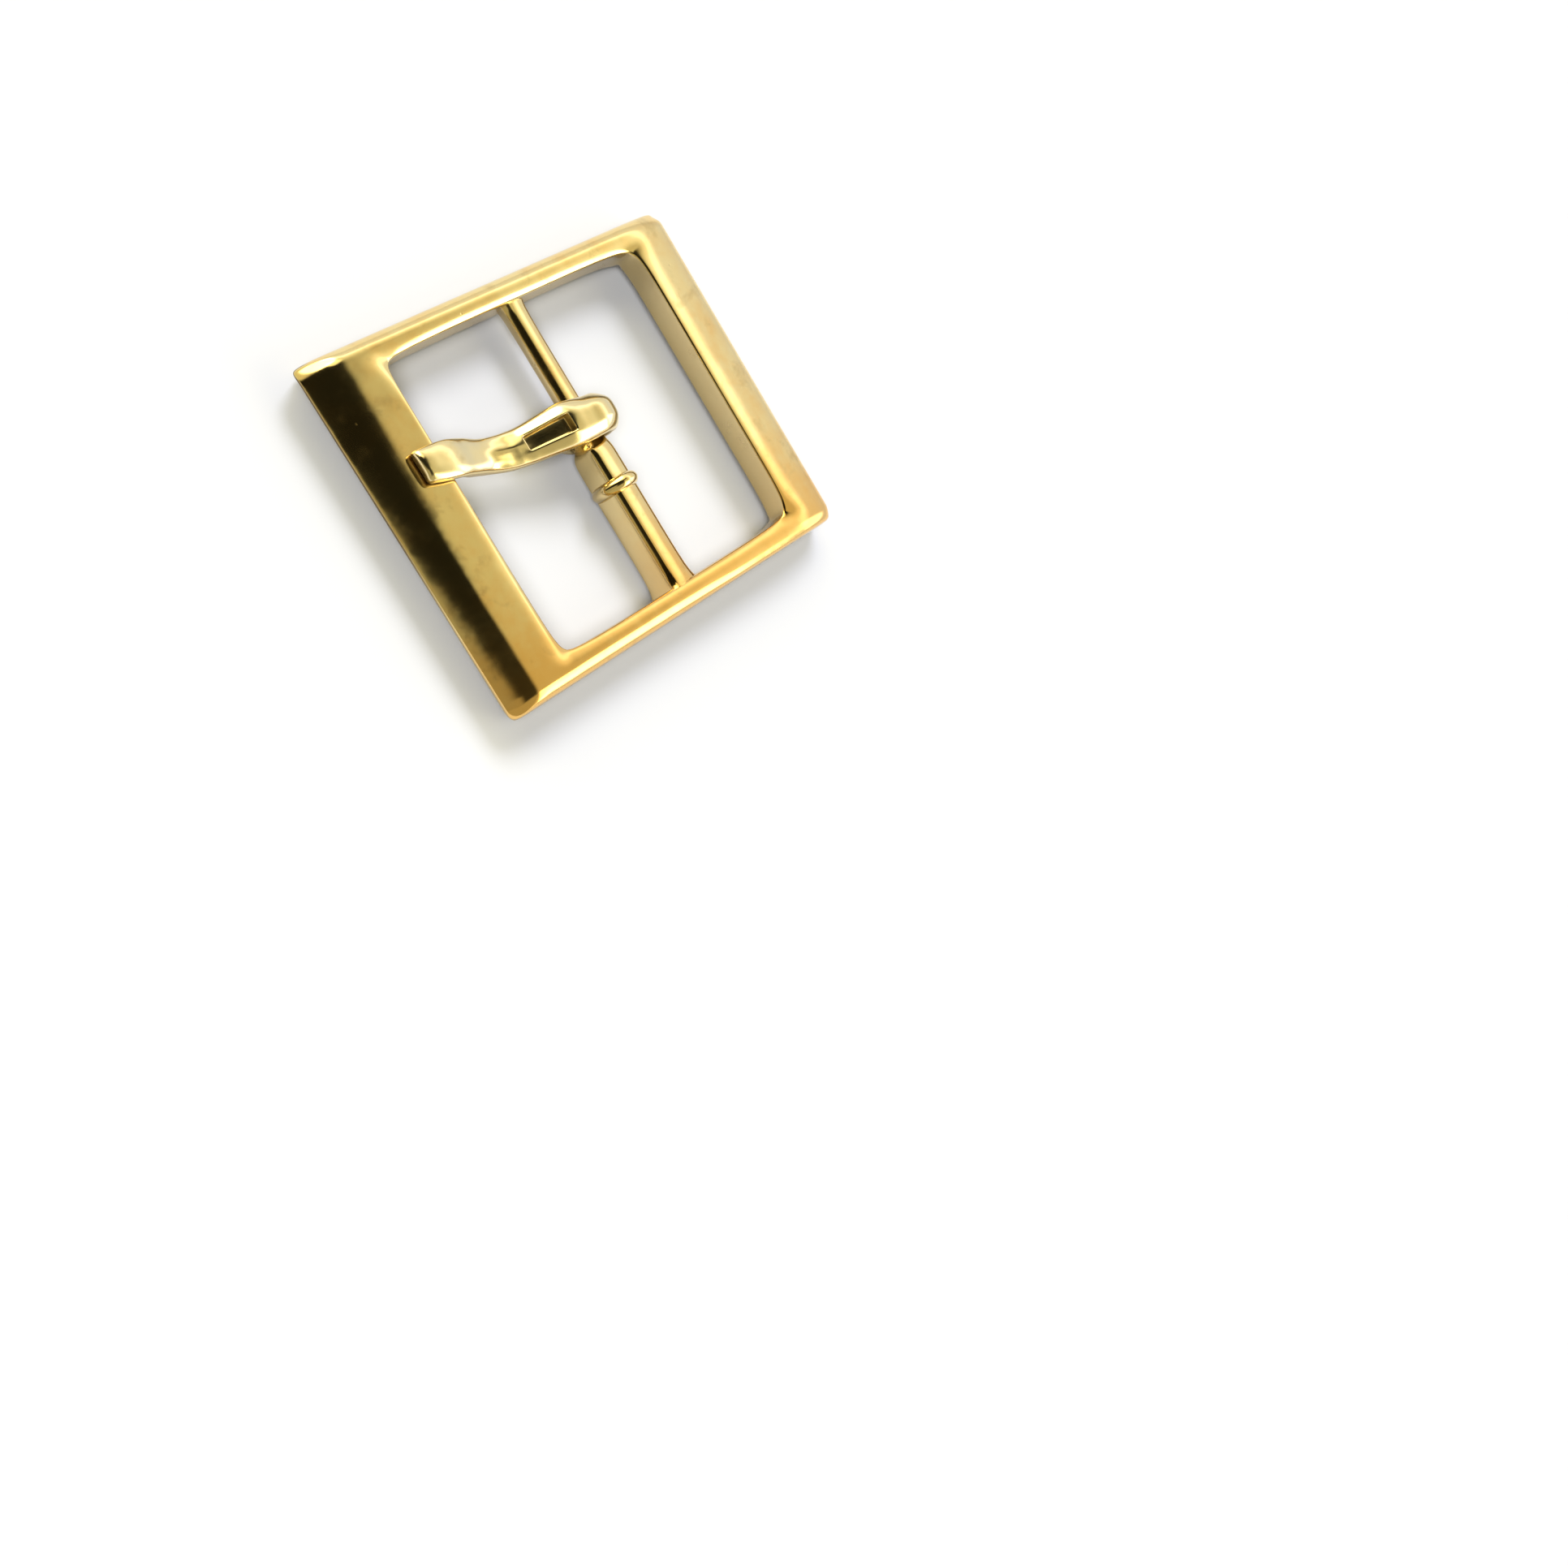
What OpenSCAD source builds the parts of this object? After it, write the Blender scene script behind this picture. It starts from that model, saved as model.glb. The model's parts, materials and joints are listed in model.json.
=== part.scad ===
// Center bar buckle for a narrow strap: one cast frame with a loose tongue on its middle bar.
// Origin: middle of the footprint, on the plane that the two side rods rest on.
// The wide end bar, which the tongue's tip lies on, is at -X. The strap runs along X.

/* [Strap opening] */
// Width of the strap that the opening takes, rail to rail
strap_w = 16; // [14:0.5:20]
// Length of the opening from the bar's axis to the wide end bar
front_gap = 8.66; // [8:0.1:10]
// Length of the opening from the bar's axis to the narrow end bar
rear_gap = 8.29; // [7.5:0.1:10]
// Corner radius of the opening
opening_r = 1.1; // [0.6:0.1:1.6]

/* [Frame] */
// Depth of the frame, from the rods' underside to the front rim
frame_h = 2.55; // [2.5:0.05:2.8]
// Width of each side rail
rail_w = 1.37; // [1.2:0.01:1.8]
// Width of the wide end bar
wide_bar_w = 3.87; // [3.2:0.01:4.6]
// Thickness of the wide end bar
wide_bar_t = 1.29; // [1.1:0.01:1.6]
// Width of the roll-off along the wide end bar's outer edge
roll_w = 1.95; // [1.2:0.05:2.4]
// Drop of that roll-off from the front rim to the outer edge
roll_drop = 0.92; // [0.5:0.02:1.0]
// Width of the narrow end bar
narrow_bar_w = 3.33; // [2.6:0.01:4.0]
// Thickness of the narrow end bar at the opening
narrow_bar_t = 1.7; // [1.4:0.01:1.9]
// Fall of the narrow end bar's convex front, rim to outer edge
narrow_drop = 0.74; // [0.4:0.02:0.9]
// Slope of the narrow end bar's back, opening to outer edge
narrow_back_fall = 0.35; // [0:0.05:0.5]
// Corner radius of the outline at the wide end
wide_corner_r = 0.8; // [0.5:0.1:1.2]
// Corner radius of the outline at the narrow end
narrow_corner_r = 1.1; // [0.5:0.1:1.3]
// Length of the slanting end that each rod has under the wide bar
rod_slant_l = 1.2; // [0.6:0.1:1.4]
// Radius of the rails' outer front edge
rail_edge_r = 0.62; // [0.4:0.01:0.66]
// Depth of the narrow flat worn along each rod's underside
rod_flat = 0.03; // [0.01:0.01:0.06]

/* [Bar] */
// Diameter of the bar, which the tongue turns on
bar_d = 1.64; // [1.5:0.02:1.7]
// Depth of the bar's axis below the front rim
bar_depth = 1.1; // [1.05:0.01:1.15]
// Diameter of the stouter half of the bar, on the collar's side of the tongue
stout_d = 2.02; // [1.8:0.02:2.1]
// How far the stouter half's middle lies towards the wide end bar
stout_shift = 0.1; // [0:0.02:0.16]
// Diameter of the collar that keeps the tongue in the middle
collar_d = 2.7; // [2.4:0.05:2.8]
// Width of the collar along the bar
collar_w = 0.85; // [0.6:0.05:1.1]
// Place of the collar's middle along the bar
collar_y = -2.2; // [-2.6:0.1:-1.8]

/* [Tongue] */
// Least play between the bar and the tongue's eye, on the radius
tongue_play = 0.06; // [0.04:0.01:0.08]
// How far the loose eye's middle lies from the bar's axis, towards the narrow end
eye_shift_x = 0.15; // [0:0.01:0.18]
// How far the eye's middle lies above the bar's axis
eye_shift_z = 0.08; // [0:0.01:0.12]
// Thickness of the tongue's strip
strip_t = 0.82; // [0.7:0.02:0.84]
// Roundness of the loop's shoulder away from the collar
far_shoulder_r = 1.25; // [0.8:0.05:1.3]
// Roundness of the loop's shoulder beside the collar
near_shoulder_r = 0.35; // [0.2:0.05:0.6]
// Gap between the tip's underside and the wide end bar
tip_gap = 0.05; // [0.03:0.01:0.1]
// Reach of the strip's tail, folded back against the strip, from the bar's axis
tail_reach = 3.0; // [2.7:0.1:3.4]
// Height of the tail's cut end
tail_t = 0.85; // [0.6:0.05:0.9]
// Width of the slot in the loop's front
slot_w = 0.7; // [0.5:0.05:0.9]
// Depth of that slot
slot_depth = 0.45; // [0.2:0.05:0.5]
// Depth of the panel sunk into the tail's back
panel_depth = 0.1; // [0.05:0.01:0.15]

/* [Hidden] */
$fn = 64;
eps = 0.01;
gold = [0.86, 0.70, 0.38];
pale_gold = [0.88, 0.78, 0.50];

frame_l = wide_bar_w + front_gap + rear_gap + narrow_bar_w;
frame_w = strap_w + 2 * rail_w;
wide_x = -frame_l / 2;
narrow_x = frame_l / 2;
open_x0 = wide_x + wide_bar_w;
open_x1 = narrow_x - narrow_bar_w;
bar_x = open_x0 + front_gap;
bar_z = frame_h - bar_depth;
bar_r = bar_d / 2;
stout_r = stout_d / 2;
rod_r = rail_w / 2;
rod_y = strap_w / 2 + rod_r;
rod_z = rod_r - rod_flat;
wide_back_z = frame_h - wide_bar_t;
narrow_back_z = frame_h - narrow_bar_t;
roll_r = (pow(roll_w, 2) + pow(roll_drop, 2)) / (2 * roll_drop);
crown_r = (pow(narrow_bar_w, 2) + pow(narrow_drop, 2)) / (2 * narrow_drop);
step_end_y = 0.1;

// The loop round the bar. Places are from the bar's axis, and Z is above it.
eye_r = bar_r + tongue_play + norm([eye_shift_x, eye_shift_z]);
loop_r = eye_r + strip_t;
loop_y0 = 0.22;
loop_y1 = 2.38;
far_shoulder_y = 1.25;
eye_point = [-2.35, 0.42];
// Larger than the tongue, for blocks that run past it
room = 15;

// The strip's tail, folded up behind the loop, with its cut end biting into the strip
tail_y0 = 0.7;
tail_y1 = 2.5;
strip_under_z = bar_depth - 0.46;
tail_bite = 0.16;
tail_low_z = strip_under_z - tail_t;
tail_arm = [-tail_reach - eye_shift_x, tail_low_z - eye_shift_z];
tail_tangent = 360 + atan2(tail_arm[1], tail_arm[0]) + acos(loop_r / norm(tail_arm));

// The tongue's sections from the loop to the tip, with a slight kink to one side.
// Columns: distance from the bar's axis towards the tip, sideways place of the middle, width,
// height of the front face above the rim
S_REACH = 0;
S_MIDDLE = 1;
S_WIDTH = 2;
S_RISE = 3;
tongue_sections = [
    [-0.20, 1.25, 1.60, 0.83],
    [ 0.70, 1.38, 2.20, 0.80],
    [ 1.50, 1.45, 2.42, 0.70],
    [ 2.90, 1.52, 2.20, 0.42],
    [ 4.30, 1.60, 1.96, 0.06],
    [ 5.30, 1.77, 1.92, -0.16],
    [ 6.20, 2.03, 1.86, -0.16],
    [ 7.20, 2.30, 1.96, 0.16],
    [ 8.30, 2.50, 1.98, 0.60],
    [ 9.40, 2.64, 1.88, 0.76],
    [10.30, 2.78, 1.60, 0.70]
];
steps = 4;

// Smooth curve through one column of the sections, u counted in sections
function clamped(i) = max(0, min(len(tongue_sections) - 1, i));
function column_at(i, c) = tongue_sections[clamped(i)][c];
function blend(p0, p1, p2, p3, t) =
    p1 + 0.5 * t * (p2 - p0 + t * (2 * p0 - 5 * p1 + 4 * p2 - p3 + t * (3 * (p1 - p2) + p3 - p0)));
function along(u, c) =
    let (i = min(floor(u), len(tongue_sections) - 2), t = u - i)
    blend(column_at(i - 1, c), column_at(i, c), column_at(i + 1, c), column_at(i + 2, c), t);
stations = [for (k = [0 : (len(tongue_sections) - 1) * steps]) k / steps];
function reversed(list) = [for (k = [len(list) - 1 : -1 : 0]) list[k]];

// Rectangle from x0 to x1, half_w to each side, with corners of radius r0 at x0 and r1 at x1
module rounded_rect(x0, x1, half_w, r0, r1) {
    translate([x0 + r0, -half_w]) square([x1 - x0 - r0 - r1, 2 * half_w]);
    translate([x0, -half_w + r0]) square([r0, 2 * (half_w - r0)]);
    translate([x1 - r1, -half_w + r1]) square([r1, 2 * (half_w - r1)]);
    for (side = [-1, 1]) {
        translate([x0 + r0, side * (half_w - r0)]) circle(r0);
        translate([x1 - r1, side * (half_w - r1)]) circle(r1);
    }
}

// A shape drawn in X and Z, run along Y from y0 to y1
module across(y0, y1) {
    translate([0, y1, 0]) rotate([90, 0, 0]) linear_extrude(y1 - y0) children();
}

// A shape drawn in Y and Z, run along the whole frame in X
module lengthwise() {
    translate([wide_x, 0, 0]) rotate([90, 0, 90]) linear_extrude(frame_l) children();
}

// The frame's plan: its outline without the opening
module plan() {
    difference() {
        rounded_rect(wide_x, narrow_x, frame_w / 2, wide_corner_r, narrow_corner_r);
        rounded_rect(open_x0, open_x1, strap_w / 2, opening_r, opening_r);
    }
}

// Everything under the front surface, seen from the side: roll-off, flat rim, convex end
module front_side_view() {
    translate([wide_x + roll_w, 0]) square([open_x1 - wide_x - roll_w, frame_h]);
    intersection() {
        translate([wide_x + roll_w, frame_h - roll_r]) circle(roll_r);
        translate([wide_x, 0]) square([roll_w + eps, frame_h]);
    }
    intersection() {
        translate([open_x1, frame_h - crown_r]) circle(crown_r, $fn = 128);
        translate([open_x1 - eps, 0]) square([narrow_bar_w + eps, frame_h]);
    }
}

// Rods' side view: slanting end under the wide bar, round end under the narrow one
module rod_side_view() {
    end_r = 0.6;
    slant_lip = 0.15;
    polygon([
        [wide_x, frame_h],
        [wide_x, wide_back_z + slant_lip],
        [wide_x + rod_slant_l, 0],
        [narrow_x - end_r, 0],
        [narrow_x - end_r, frame_h]
    ]);
    translate([narrow_x - end_r, end_r]) square([end_r, frame_h - end_r]);
    translate([narrow_x - end_r, end_r]) circle(end_r);
}

// One rail's section: flat inner wall, round front edge outside, half-round rod at the back
module rail_section() {
    inner_y = strap_w / 2;
    outer_y = frame_w / 2;
    edge_y = outer_y - rail_edge_r;
    edge_z = frame_h - rail_edge_r;
    translate([inner_y, rod_z]) square([edge_y - inner_y, frame_h - rod_z]);
    translate([inner_y, rod_z]) square([rail_w, edge_z - rod_z]);
    translate([edge_y, edge_z]) circle(rail_edge_r);
    translate([rod_y, rod_z]) circle(rod_r);
}

module rails() {
    intersection() {
        linear_extrude(frame_h) plan();
        across(-frame_w / 2, frame_w / 2) intersection() {
            front_side_view();
            rod_side_view();
        }
        for (side = [0, 1]) mirror([0, side, 0]) lengthwise() rail_section();
    }
}

// Both end bars, reaching into the rails and into the opening's round corners
module end_bars() {
    lip = 0.26;
    intersection() {
        linear_extrude(frame_h) plan();
        across(-rod_y, rod_y) intersection() {
            front_side_view();
            union() {
                polygon([
                    [wide_x, frame_h],
                    [wide_x, wide_back_z + lip],
                    [wide_x + lip, wide_back_z],
                    [open_x0 + opening_r, wide_back_z],
                    [open_x0 + opening_r, frame_h]
                ]);
                polygon([
                    [narrow_x, frame_h],
                    [narrow_x, narrow_back_z - narrow_back_fall],
                    [open_x1, narrow_back_z],
                    [open_x1 - opening_r, narrow_back_z],
                    [open_x1 - opening_r, frame_h]
                ]);
            }
        }
    }
}

// A round rod along Y from y0 to y1
module rod_along_y(y0, y1, r) {
    translate([0, y1, 0]) rotate([90, 0, 0]) cylinder(h = y1 - y0, r = r);
}

// The bar: slim where the tongue turns, stouter on the collar's side
module center_bar() {
    root_l = 0.3;
    root_y = strap_w / 2 + root_l;
    translate([bar_x, 0, bar_z]) rod_along_y(-root_y, root_y, bar_r);
    translate([bar_x - stout_shift, 0, bar_z]) rod_along_y(-root_y, step_end_y, stout_r);
}

// The collar: a ring with rounded shoulders on the bar's stouter half
module collar() {
    shoulder_r = collar_w / 2;
    collar_r = collar_d / 2;
    translate([bar_x - stout_shift, collar_y, bar_z]) rotate([90, 0, 0]) rotate_extrude() {
        translate([0, -collar_w / 2]) square([collar_r - shoulder_r, collar_w]);
        translate([collar_r - shoulder_r, 0]) intersection() {
            circle(shoulder_r);
            translate([0, -collar_w]) square([collar_w, 2 * collar_w]);
        }
    }
}

// The strip's side view, from the bar's axis: from the loop's top to the tip on the wide bar
module strip_side_view() {
    top = [for (u = stations) [-along(u, S_REACH), bar_depth + along(u, S_RISE)]];
    under = [for (p = top) [p[0], p[1] - strip_t]];
    seat_start = front_gap - 0.35;
    difference() {
        polygon(concat(top, reversed(under)));
        translate([-seat_start - room, bar_depth + tip_gap - room]) square(room);
    }
}

// The tail's side view: from the loop's back up to its cut end under the strip
module tail_side_view() {
    tail_r = loop_r - eps;
    polygon([
        [eye_shift_x, eye_shift_z],
        [-tail_reach, strip_under_z + tail_bite],
        [-tail_reach, tail_low_z],
        [eye_shift_x + tail_r * cos(tail_tangent), eye_shift_z + tail_r * sin(tail_tangent)]
    ]);
}

// The eye's side view: round at the bar, closing to a point between strip and tail
module eye_side_view() {
    arm = eye_point - [eye_shift_x, eye_shift_z];
    spread = acos(eye_r / norm(arm));
    facing = atan2(arm[1], arm[0]);
    foot_r = eye_r - 2 * eps;
    translate([eye_shift_x, eye_shift_z]) {
        circle(eye_r);
        polygon([
            [0, 0],
            foot_r * [cos(facing - spread), sin(facing - spread)],
            arm,
            foot_r * [cos(facing + spread), sin(facing + spread)]
        ]);
    }
}

// The tongue's plan, from the bar's axis
module tongue_plan() {
    far_side = [for (u = stations) [-along(u, S_REACH), along(u, S_MIDDLE) + along(u, S_WIDTH) / 2]];
    near_side = [for (u = stations) [-along(u, S_REACH), along(u, S_MIDDLE) - along(u, S_WIDTH) / 2]];
    polygon(concat(far_side, reversed(near_side)));
}

// The loop's outer form: a drum along Y, turned from its section, with two unlike shoulders
module loop_drum() {
    translate([eye_shift_x, 0, eye_shift_z]) rotate([-90, 0, 0]) rotate_extrude() {
        translate([0, loop_y0 + near_shoulder_r])
            square([loop_r, far_shoulder_y - loop_y0 - near_shoulder_r]);
        translate([0, loop_y0]) square([loop_r - near_shoulder_r, near_shoulder_r]);
        translate([loop_r - near_shoulder_r, loop_y0 + near_shoulder_r]) circle(near_shoulder_r);
        intersection() {
            translate([loop_r - far_shoulder_r, far_shoulder_y]) circle(far_shoulder_r);
            translate([0, far_shoulder_y - eps]) square([loop_r, loop_y1 - far_shoulder_y + eps]);
        }
    }
}

// The slot in the loop's front, which follows the strip's slope
module tongue_slot() {
    slot_start = 1.6;
    slot_l = 2.45;
    slot_y = 1.47;
    front_z = bar_depth + 0.69;
    slope = 13;
    translate([-slot_start, slot_y, front_z - slot_depth]) rotate([0, -slope, 0])
        translate([-slot_l, -slot_w / 2, 0]) cube([slot_l, slot_w, 2 * slot_depth]);
}

// The sunk panel on the tail's slanting back, inside a raised border
module tail_panel() {
    border = 0.35;
    panel_l = 1.7;
    panel_w = tail_y1 - tail_y0 - 2 * border;
    slope = 270 - tail_tangent;
    translate([-tail_reach, tail_y0 + border, tail_low_z]) rotate([0, slope, 0])
        translate([border, 0, -panel_depth]) cube([panel_l, panel_w, 2 * panel_depth]);
}

// The whole tongue before its eye is opened, cut flat at the back, level with the rods
module tongue_blank() {
    intersection() {
        union() {
            loop_drum();
            intersection() {
                across(-room, room) strip_side_view();
                linear_extrude(room, center = true) tongue_plan();
            }
            across(tail_y0, tail_y1) tail_side_view();
        }
        translate([-room, -room, -bar_z]) cube(2 * room);
    }
}

module frame() {
    color(gold) {
        rails();
        end_bars();
        center_bar();
        collar();
    }
}

module tongue() {
    color(pale_gold) translate([bar_x, 0, bar_z]) difference() {
        tongue_blank();
        across(-room, room) eye_side_view();
        tongue_slot();
        tail_panel();
    }
}

frame();
tongue();
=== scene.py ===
"""Looks of the center bar buckle: its polished castings, and the table and light that it is seen in.

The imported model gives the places. Every mesh is modelled in millimetres and brought to metres when
it is done.
"""

import json
import logging
import math
from dataclasses import dataclass
from enum import Enum
from typing import Any, Callable, Sequence

import bmesh
import bpy
from mathutils import Matrix, Vector


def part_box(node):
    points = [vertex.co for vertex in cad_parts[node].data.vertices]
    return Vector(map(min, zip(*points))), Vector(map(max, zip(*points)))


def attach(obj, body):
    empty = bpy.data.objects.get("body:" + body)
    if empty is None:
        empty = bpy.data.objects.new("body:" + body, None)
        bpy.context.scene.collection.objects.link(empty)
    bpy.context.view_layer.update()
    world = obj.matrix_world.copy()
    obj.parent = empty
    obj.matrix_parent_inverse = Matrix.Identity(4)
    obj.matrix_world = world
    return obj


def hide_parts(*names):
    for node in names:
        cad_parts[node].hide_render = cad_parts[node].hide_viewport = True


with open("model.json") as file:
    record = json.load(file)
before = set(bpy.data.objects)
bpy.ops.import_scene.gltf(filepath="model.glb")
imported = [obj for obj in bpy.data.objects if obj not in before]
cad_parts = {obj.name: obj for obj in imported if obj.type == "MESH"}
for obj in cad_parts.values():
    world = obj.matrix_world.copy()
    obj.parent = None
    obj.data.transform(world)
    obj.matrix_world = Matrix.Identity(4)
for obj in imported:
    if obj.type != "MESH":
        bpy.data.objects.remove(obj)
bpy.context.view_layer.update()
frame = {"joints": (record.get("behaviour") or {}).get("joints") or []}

MM = 0.001
SAME = 0.01  # places on the casting that are this near, in millimetres, are the same place
ROW = 0.005  # the same for the rows of the tongue's blank, the bar and the collar
SNAP = 1e-4  # how near to a point a cut takes that point
FLAT = 0.9  # how much of a level face's normal lies along Z, at least
SHARP = math.radians(58)
SMOOTH = math.radians(50)
MIX_SOCKETS = (0, 6, 7)  # of a Mix node for colours: its share and its two colours
MIX_RESULT = 2
log = logging.getLogger("buckle")

Triple = tuple[float, float, float]
Colour = Triple
PointTest = Callable[[Vector], bool]
ElementTest = Callable[[Any], bool]


def near(place: float, target: float, gap: float = SAME) -> bool:
    """Whether a place is less than a gap from a target."""
    return abs(place - target) < gap


def is_sharp(edge: Any, angle: float = SHARP) -> bool:
    """Whether the two faces at an edge turn by more than an angle."""
    return len(edge.link_faces) == 2 and edge.calc_face_angle(0.0) > angle


def middle_of(edge: Any) -> Vector:
    """The middle of an edge."""
    return (edge.verts[0].co + edge.verts[1].co) / 2


class Axis(Enum):
    """An axis, by its place in a vector."""

    X = 0
    Y = 1
    Z = 2


class Part(Enum):
    """What a selection picks: the index is the select mode's place."""

    POINTS = 0
    EDGES = 1
    FACES = 2


class Workpiece:
    """One mesh on the bench, in millimetres, shaped in edit mode by Blender's own operators."""

    def __init__(self, name: str, add: Callable[[], Any], stretch: Triple = (1, 1, 1)) -> None:
        """Adds a primitive and opens it for editing.

        Args:
            name: name of the object and of its mesh.
            add: adds the primitive and leaves it active.
            stretch: how much longer the primitive is made along each axis.
        """
        bpy.ops.object.select_all(action="DESELECT")
        add()
        self.body = bpy.context.object
        self.body.name = name
        self.body.data.name = name
        self.body.scale = stretch
        bpy.ops.object.transform_apply(location=True, rotation=True, scale=True)
        bpy.ops.object.mode_set(mode="EDIT")

    @classmethod
    def block(cls, name: str, low: Triple, high: Triple) -> "Workpiece":
        """A block between two corners.

        Args:
            name: name of the new piece.
            low: lowest corner.
            high: highest corner.

        Returns:
            The new workpiece.
        """
        middle = [(a + b) / 2 for a, b in zip(low, high)]
        size = [b - a for a, b in zip(low, high)]
        return cls(name, lambda: bpy.ops.mesh.primitive_cube_add(size=1, location=middle), size)

    def pick(self, part: Part, test: ElementTest) -> int:
        """Selects what passes a test and nothing else.

        Args:
            part: points, edges or faces.
            test: takes the element.

        Returns:
            How many were selected.
        """
        bpy.context.tool_settings.mesh_select_mode = [part is each for each in Part]
        mesh = bmesh.from_edit_mesh(self.body.data)
        mesh.select_mode = {("VERT", "EDGE", "FACE")[part.value]}
        mesh.normal_update()
        for element in (*mesh.faces, *mesh.edges, *mesh.verts):
            element.select_set(False)
        chosen = [e for e in (mesh.verts, mesh.edges, mesh.faces)[part.value] if test(e)]
        for element in chosen:
            element.select_set(True)
        mesh.select_flush_mode()
        bmesh.update_edit_mesh(self.body.data)
        return len(chosen)

    def cut(self, axis: Axis, places: Sequence[float]) -> None:
        """Adds a line of edges round the whole piece at each place along an axis.

        Args:
            axis: the axis that the cuts are square to.
            places: where to cut.
        """
        normal = [float(each is axis) for each in Axis]
        for place in places:
            bpy.ops.mesh.select_all(action="SELECT")
            bpy.ops.mesh.bisect(plane_co=[place * n for n in normal], plane_no=normal, threshold=SNAP)

    def shift(self, test: PointTest, by: Triple) -> None:
        """Moves the points that pass a test.

        Args:
            test: takes the point's place.
            by: how far.
        """
        if self.pick(Part.POINTS, lambda point: test(point.co)):
            bpy.ops.transform.translate(value=by)

    def squeeze(self, test: PointTest, by: Triple, about: Triple) -> None:
        """Scales the points that pass a test about a fixed place.

        Args:
            test: takes the point's place.
            by: scale along each axis.
            about: the place that stays.
        """
        if self.pick(Part.POINTS, lambda point: test(point.co)):
            bpy.ops.transform.resize(value=by, center_override=about)

    def pull_faces(self, test: ElementTest, by: Triple) -> None:
        """Extrudes the faces that pass a test.

        Args:
            test: takes the face.
            by: how far they are drawn out.
        """
        if self.pick(Part.FACES, test):
            bpy.ops.mesh.extrude_region_move(TRANSFORM_OT_translate={"value": by})

    def round_edges(self, test: ElementTest, width: float, segments: int) -> None:
        """Bevels the edges that pass a test.

        Args:
            test: takes the edge.
            width: width of the bevel to each side.
            segments: number of strips.
        """
        if self.pick(Part.EDGES, test):
            bpy.ops.mesh.bevel(offset=width, segments=segments, profile=0.5, affect="EDGES",
                               clamp_overlap=False, loop_slide=True)

    def open_through(self, test: ElementTest) -> None:
        """Cuts an opening right through: takes faces out on both sides and joins the two rims.

        Args:
            test: takes the face.
        """
        self.pick(Part.FACES, test)
        bpy.ops.mesh.delete(type="FACE")
        self.pick(Part.EDGES, lambda edge: edge.is_boundary)
        bpy.ops.mesh.bridge_edge_loops()

    def edit(self) -> None:
        """Opens the piece for editing again."""
        bpy.context.view_layer.objects.active = self.body
        bpy.ops.object.mode_set(mode="EDIT")

    def modify(self, kind: str, **settings: Any) -> None:
        """Adds a modifier to the piece and applies it.

        Args:
            kind: the modifier's type.
            settings: its settings.
        """
        bpy.ops.object.mode_set(mode="OBJECT")
        bpy.context.view_layer.objects.active = self.body
        modifier = self.body.modifiers.new(kind.title(), kind)
        for key, value in settings.items():
            setattr(modifier, key, value)
        bpy.ops.object.modifier_apply(modifier=modifier.name)

    def soften(self, levels: int) -> None:
        """Subdivides the piece to a smooth surface.

        Args:
            levels: levels of subdivision.
        """
        self.edit()
        bpy.ops.mesh.select_all(action="SELECT")
        bpy.ops.mesh.normals_make_consistent(inside=False)
        self.modify("SUBSURF", levels=levels, render_levels=levels)

    def weld(self, other: "Workpiece") -> None:
        """Joins another finished piece to this one, as one skin.

        Args:
            other: the piece that is used up.
        """
        self.modify("BOOLEAN", operation="UNION", solver="EXACT", object=other.body)
        bpy.data.objects.remove(other.body)

    def done(self, node: str, body: str, slot: str, finish: "Plating") -> bpy.types.Object:
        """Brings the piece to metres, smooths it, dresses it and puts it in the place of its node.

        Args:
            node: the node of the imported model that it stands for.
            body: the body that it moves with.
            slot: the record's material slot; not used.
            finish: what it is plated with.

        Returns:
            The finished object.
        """
        bpy.ops.object.select_all(action="DESELECT")
        self.body.select_set(True)
        bpy.context.view_layer.objects.active = self.body
        bpy.ops.transform.resize(value=(MM, MM, MM), center_override=(0, 0, 0))
        bpy.ops.object.transform_apply(location=True, rotation=True, scale=True)
        bpy.ops.object.shade_smooth_by_angle(angle=SMOOTH)
        self.body.data.materials.clear()
        self.body.data.materials.append(finish.material())
        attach(self.body, body)
        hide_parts(node)
        return self.body


class Signal:
    """A number that varies from place to place, held as the output of a node."""

    def __init__(self, bench: "NodeBench", socket: Any) -> None:
        """Wraps an output socket of one node tree."""
        self.bench = bench
        self.socket = socket

    def _math(self, operation: str, *values: Any) -> "Signal":
        """Adds one Math node and gives its result."""
        made = self.bench.node("ShaderNodeMath", {"operation": operation}, dict(enumerate(values)))
        return Signal(self.bench, made.outputs[0])

    def __add__(self, other: Any) -> "Signal":
        """Sum."""
        return self._math("ADD", self, other)

    def __sub__(self, other: Any) -> "Signal":
        """Difference."""
        return self._math("SUBTRACT", self, other)

    def __rsub__(self, other: Any) -> "Signal":
        """Difference from a plain number."""
        return self._math("SUBTRACT", other, self)

    def __mul__(self, other: Any) -> "Signal":
        """Product."""
        return self._math("MULTIPLY", self, other)

    def __neg__(self) -> "Signal":
        """The same with the other sign."""
        return self._math("MULTIPLY", self, -1.0)

    __radd__ = __add__
    __rmul__ = __mul__

    def least(self, other: Any) -> "Signal":
        """The smaller of two."""
        return self._math("MINIMUM", self, other)

    def most(self, other: Any) -> "Signal":
        """The larger of two."""
        return self._math("MAXIMUM", self, other)

    def angle_from(self, other: Any) -> "Signal":
        """Angle whose tangent is this over the other, in radians."""
        return self._math("ARCTAN2", self, other)

    def ease(self, low: float, high: float) -> "Signal":
        """Goes smoothly from 0 to 1 between two values.

        Args:
            low: the value that gives 0.
            high: the value that gives 1. It may be the smaller one.

        Returns:
            The eased signal.
        """
        made = self.bench.node(
            "ShaderNodeMapRange", {"interpolation_type": "SMOOTHSTEP", "clamp": True},
            {"Value": self, "From Min": low, "From Max": high})
        return Signal(self.bench, made.outputs[0])


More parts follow.
